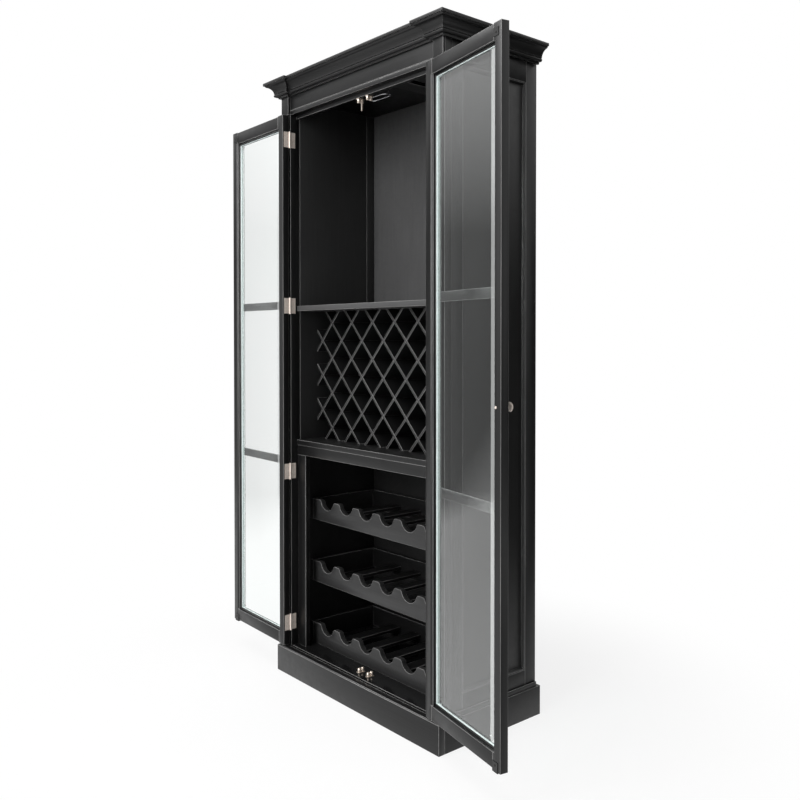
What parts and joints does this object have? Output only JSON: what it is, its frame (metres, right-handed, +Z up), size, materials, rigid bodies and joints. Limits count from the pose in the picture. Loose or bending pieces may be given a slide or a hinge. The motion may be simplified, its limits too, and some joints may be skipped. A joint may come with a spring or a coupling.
{
  "type": "bar armoire",
  "caption": "Tall black-painted wooden bar cabinet with glazed swing doors, stemware hangers, a diamond bottle lattice and scalloped bottle racks under a broken crown moulding",
  "frame": {"origin": "middle of the plinth's footprint, on the floor", "axes": "+X to the viewer's right facing the doors, +Y to the back, +Z up"},
  "size_m": [1.5823, 0.5409, 2.2],
  "materials": {
    "black_wood": "satin black paint over wood",
    "black_panel": "satin black painted panel",
    "clear_glass": "clear bevelled glass",
    "nickel": "warm satin nickel plate",
    "dark_metal": "blackened steel",
    "chrome_wire": "bright chrome wire"
  },
  "bodies": {
    "cabinet": {"plinth_front": "black_wood", "plinth_returns": "black_wood", "plinth_bearer": "black_wood", "bottom_board": "black_wood", "side_base_strips": "black_wood", "left_post": "black_wood", "right_post": "black_wood", "frieze": "black_wood", "top_stop": "black_wood", "corner_blocks": "black_wood", "crown_front": "black_wood", "crown_left": "black_wood", "crown_right": "black_wood", "top_board": "black_wood", "ceiling_board": "black_wood", "left_side_frame": "black_wood", "left_side_panel": "black_panel", "right_side_frame": "black_wood", "right_side_panel": "black_panel", "panel_mouldings": "black_wood", "side_linings": "black_wood", "corner_cover_strips": "black_wood", "back_panel": "black_panel", "middle_shelf": "black_wood", "lattice_deck": "black_wood", "lattice_rail": "black_wood", "lattice_rising_slats": "black_wood", "lattice_falling_slats": "black_wood", "lower_stiles": "black_wood", "lower_rack_front": "black_wood", "middle_rack_front": "black_wood", "upper_rack_front": "black_wood", "rack_boxes": "black_wood", "rack_slats": "black_wood", "stemware_rails": "black_wood", "wire_rack": "chrome_wire", "door_catches": "nickel", "frame_hinge_leaves": "nickel", "hinge_pins": "nickel", "frame_hinge_screws": "nickel"},
    "left_door": {"left_door_hinge_stile": "black_wood", "left_door_free_stile": "black_wood", "left_door_rails": "black_wood", "left_door_muntins": "black_wood", "left_door_glass": "clear_glass", "left_door_glass_beads": "black_wood", "left_door_hinge_leaves": "nickel", "left_door_screws": "nickel", "left_door_strikes": "dark_metal"},
    "right_door": {"right_door_hinge_stile": "black_wood", "right_door_free_stile": "black_wood", "right_door_rails": "black_wood", "right_door_muntins": "black_wood", "right_door_glass": "clear_glass", "right_door_glass_beads": "black_wood", "right_door_hinge_leaves": "nickel", "right_door_screws": "nickel", "right_door_strikes": "dark_metal", "right_door_knob": "nickel"}
  },
  "joints": [
    {"name": "left_door_swing", "type": "hinge", "parent": "cabinet", "child": "left_door", "pos_m": [-0.3985, -0.202, 1.0885], "axis": [0, 0, 1], "range_deg": [0, 182]},
    {"name": "right_door_swing", "type": "hinge", "parent": "cabinet", "child": "right_door", "pos_m": [0.3985, -0.202, 1.0885], "axis": [0, 0, 1], "range_deg": [-168, 14]}
  ]
}
